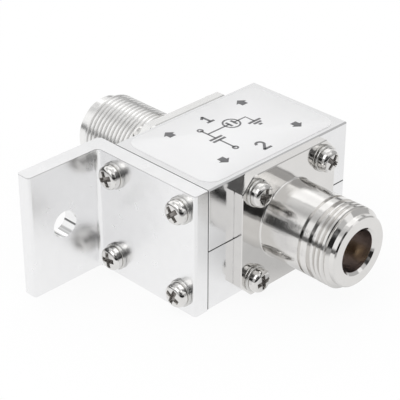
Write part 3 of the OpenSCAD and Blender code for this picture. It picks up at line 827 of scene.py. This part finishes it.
# Painted shade in the cross recesses of the screws: the deeper the recess, the darker.
change(screw_metal, in_depth(screw_metal), (0.24, 0.22, 0.205), 0.5)
wear(jack_metal, [equipment_jack])
wear(antenna_lit_metal, [antenna_jack])
wear(screw_metal, screws)
wear(washer_metal, washers)

# %% The label
film_grey = finish("label_film_grey", (0.84, 0.84, 0.845), 0.0, 0.6, tone=0.012, tone_scale=150.0,
                   grain_scale=5000.0, bump=0.04, specular=0.2)
ink_grey = finish("label_ink_grey", (0.15, 0.15, 0.155), 0.0, 0.5, tone=0.06, tone_scale=900.0,
                  grain_scale=6000.0, bump=0.04)
wear(film_grey, [label_film])
wear(ink_grey, [label_print])

# %% The parts inside
bead_white = finish("bead_plastic_white", (0.8, 0.79, 0.76), 0.0, 0.4, tone=0.02)
gold = finish("contact_gold", (0.78, 0.61, 0.38), 1.0, 0.18, tone=0.04)
brass = finish("plate_brass_turned", (0.75, 0.56, 0.3), 1.0, 0.28, tone=0.05)
amber = finish("film_amber", (0.6, 0.33, 0.08), 0.0, 0.3, tone=0.05)
ceramic = finish("tube_ceramic_white", (0.8, 0.78, 0.74), 0.0, 0.45, tone=0.03)
dull_nickel = finish("electrode_nickel", (0.62, 0.6, 0.57), 1.0, 0.35, tone=0.04)
spring_grey = finish("spring_steel_grey", (0.55, 0.55, 0.56), 1.0, 0.25, tone=0.04)
wear(bead_white, [nodes["equipment_insulator"], nodes["antenna_insulator"]])
wear(gold, [nodes["equipment_contact"], nodes["antenna_contact"]])
wear(brass, [nodes["antenna_coupling_plate"], nodes["equipment_coupling_plate"], nodes["line_tee"]])
wear(amber, [nodes["coupling_film"]])
wear(ceramic, [nodes["gas_tube_ceramic"]])
wear(dull_nickel, [nodes["gas_tube_line_electrode"], nodes["gas_tube_ground_electrode"]])
wear(spring_grey, [nodes["ground_spring"]])

# %% [markdown]
# ## The studio
# Bright metal shows its surroundings, so the surroundings are most of the picture.
# A photographer would stand this part on white paper and hang cards round it: white behind,
# grey at the right, and a dark room in front, which draws the dark streaks on the barrel and the screw heads.
# The cards could be planes round the part, but here they are painted on the sky by their angles,
# and only mirrored rays see them.
# Everything else gets one even soft light, and the camera sees plain white.

# %% Helpers for light
def math_node(tree, operation, *values):
    """Result of one Math node. Each value is a number or a socket."""
    node = tree.nodes.new("ShaderNodeMath")
    node.operation = operation
    for place, value in enumerate(values):
        if isinstance(value, float):
            node.inputs[place].default_value = value
        else:
            tree.links.new(value, node.inputs[place])
    return node.outputs[0]


def mixed(tree, share, first, second):
    """Colour between two, each of them a socket or a grey, by a share from 0 to 1."""
    mix = tree.nodes.new("ShaderNodeMix")
    mix.data_type = "RGBA"
    tree.links.new(share, mix.inputs["Factor"])
    for place, value in ((6, first), (7, second)):
        if isinstance(value, float):
            mix.inputs[place].default_value = (value, value, value, 1.0)
        else:
            tree.links.new(value, mix.inputs[place])
    return mix.outputs[2]


def eased(tree, value, low, high):
    """0 below low, 1 above high and a straight slope between. With low above high it falls instead."""
    slope = tree.nodes.new("ShaderNodeMapRange")
    slope.inputs["From Min"].default_value = low
    slope.inputs["From Max"].default_value = high
    tree.links.new(value, slope.inputs["Value"])
    return slope.outputs["Result"]


def ray_kinds(tree):
    """Two flags: 1 for rays from the camera, also through clear things, and 1 for mirrored rays."""
    path = tree.nodes.new("ShaderNodeLightPath").outputs
    seen = math_node(tree, "MAXIMUM", path["Is Camera Ray"], path["Is Transmission Ray"])
    return seen, path["Is Glossy Ray"]


# %% Paper floor
FLOOR_HALF = 0.9
FLOOR_DROP = 0.0001
floor_mesh = bpy.data.meshes.new("floor")
floor_corners = FLOOR_HALF * np.array([[-1, -1, 0], [1, -1, 0], [1, 1, 0], [-1, 1, 0]])
floor_mesh.from_pydata(floor_corners.tolist(), [], [(0, 1, 2, 3)])
floor = bpy.data.objects.new("floor", floor_mesh)
scene.collection.objects.link(floor)
floor.location.z = -FLOOR_DROP
print("floor", 2 * FLOOR_HALF, "m square")

# %% How bright the paper is in the mirrored view
# It darkens away from the part, towards the room, and under the equipment jack.
PAPER_IN_METAL = [(10.0, 0.97), (30.0, 0.88), (70.0, 0.9), (100.0, 0.3)]
JACK_SHADE = 0.62
JACK_SHADE_AT = (22.0, 3.0, 0.0)
JACK_SHADE_INNER = 5.0
JACK_SHADE_OUTER = 15.0
paper = bpy.data.materials.new("floor_paper")
paper.use_nodes = True
tree = paper.node_tree
tree.nodes.remove(tree.nodes["Principled BSDF"])
far_x = PAPER_IN_METAL[-1][0]
along = eased(tree, coordinate(tree, "X"), 0.0, far_x * MM)
fall_off = tree.nodes.new("ShaderNodeValToRGB")
stops = fall_off.color_ramp.elements
stops.remove(stops[0])
stops[0].position = 0.0
for x, grey in PAPER_IN_METAL:
    stop = stops[0] if x == PAPER_IN_METAL[0][0] else stops.new(x / far_x)
    stop.position = x / far_x
    stop.color = (grey, grey, grey, 1.0)
tree.links.new(along, fall_off.inputs["Fac"])

where = tree.nodes.new("ShaderNodeTexCoord")
from_jack = tree.nodes.new("ShaderNodeVectorMath")
from_jack.operation = "DISTANCE"
from_jack.inputs[1].default_value = np.multiply(JACK_SHADE_AT, MM)
tree.links.new(where.outputs["Object"], from_jack.inputs[0])
near_jack = eased(tree, from_jack.outputs["Value"], JACK_SHADE_OUTER * MM, JACK_SHADE_INNER * MM)
in_metal = mixed(tree, near_jack, fall_off.outputs["Color"], JACK_SHADE)
print("paper in metal", PAPER_IN_METAL)

# %% White paper that keeps a shadow
PAPER = 0.95
PAPER_GLOW = 0.9
seen, mirrored = ray_kinds(tree)
matte = tree.nodes.new("ShaderNodeBsdfDiffuse")
matte.inputs["Color"].default_value = (PAPER, PAPER, PAPER, 1.0)
glow = tree.nodes.new("ShaderNodeEmission")
tree.links.new(mixed(tree, mirrored, 1.0, in_metal), glow.inputs["Color"])
both = tree.nodes.new("ShaderNodeMixShader")
either = math_node(tree, "MAXIMUM", seen, mirrored)
tree.links.new(math_node(tree, "MULTIPLY", either, PAPER_GLOW), both.inputs["Fac"])
tree.links.new(matte.outputs[0], both.inputs[1])
tree.links.new(glow.outputs[0], both.inputs[2])
tree.links.new(both.outputs[0], tree.nodes["Material Output"].inputs["Surface"])
floor.data.materials.append(paper)
print("paper glow", PAPER_GLOW)

# %% Cards round the part
# Each card has an azimuth from +X towards +Y, a half width, a lowest and a highest elevation, and a grey.
ROOM_CARDS = [
    (180.0, 25.0, -10.0, 44.0, 1.2),
    (56.0, 34.0, -10.0, 44.0, 0.5),
    (-22.0, 45.0, -10.0, 22.0, 0.02),
    (0.0, 22.0, 22.0, 44.0, 0.05),
    (-38.0, 18.0, 22.0, 49.0, 0.1),
    (270.0, 22.0, 9.0, 44.0, 0.55),
    (225.0, 23.0, 9.0, 44.0, 1.0),
    (270.0, 22.0, -10.0, 9.0, 0.39),
    (225.0, 28.0, -10.0, 11.0, 0.15),
    (204.0, 18.0, 41.0, 56.0, 0.55),
    (155.0, 25.0, 44.0, 58.0, 0.6),
    (131.0, 12.0, 8.0, 18.0, 0.12),
    (270.0, 22.0, 44.0, 64.0, 0.05),
]
CARD_EDGE = 3.0
SKY_LOW = 0.95
SKY_HIGH = 0.8
room = bpy.data.worlds.new("room")
scene.world = room
room.use_nodes = True
tree = room.node_tree
towards = tree.nodes.new("ShaderNodeTexCoord")
split = tree.nodes.new("ShaderNodeSeparateXYZ")
tree.links.new(towards.outputs["Generated"], split.inputs["Vector"])
azimuth_here = math_node(tree, "ARCTAN2", split.outputs["Y"], split.outputs["X"])
elevation_here = math_node(tree, "ARCSINE", split.outputs["Z"])

for_metal = mixed(tree, split.outputs["Z"], SKY_LOW, SKY_HIGH)
for *angles, grey in ROOM_CARDS:
    middle, half_width, low, high, soft = np.radians([*angles, CARD_EDGE]).tolist()
    off = math_node(tree, "SUBTRACT", azimuth_here, middle)
    off = math_node(tree, "WRAP", off, -np.pi, np.pi)
    aside = math_node(tree, "ABSOLUTE", off)
    wide = eased(tree, aside, half_width + soft, half_width - soft)
    above = eased(tree, elevation_here, low - soft, low + soft)
    below = eased(tree, elevation_here, high + soft, high - soft)
    tall = math_node(tree, "MULTIPLY", above, below)
    card = math_node(tree, "MULTIPLY", wide, tall)
    for_metal = mixed(tree, card, for_metal, grey)
print("cards", len(ROOM_CARDS))

# %% What each kind of ray sees of the room
SOFT_LIGHT = 0.86
seen, mirrored = ray_kinds(tree)
for_things = mixed(tree, mirrored, SOFT_LIGHT, for_metal)
sky = tree.nodes["Background"]
tree.links.new(mixed(tree, seen, for_things, 1.0), sky.inputs["Color"])
print("soft light", SOFT_LIGHT)

# %% [markdown]
# ## Lamps
# Soft light from all round leaves shapes flat. A sun would draw hard shadows, so three soft area lamps
# model the shapes a little: a broad one above the camera's left, a weaker one from the right,
# and one behind that lifts the far edges.

# %% Lamps
def lamp(name, azimuth, elevation, distance, size, power):
    """Square area lamp at an angle round the part, aimed at it."""
    out, side = outwards(*np.radians([azimuth, elevation]))
    data = bpy.data.lights.new(name, "AREA")
    data.energy = power
    data.size = size
    thing = bpy.data.objects.new(name, data)
    scene.collection.objects.link(thing)
    thing.matrix_world = facing(side, np.cross(out, side), out, AIM + out * distance)


lamp("key", azimuth=0.0, elevation=50.0, distance=0.8, size=0.5, power=1.2)
lamp("fill", azimuth=110.0, elevation=35.0, distance=0.9, size=0.6, power=0.6)
lamp("rim", azimuth=225.0, elevation=55.0, distance=0.9, size=0.6, power=0.6)
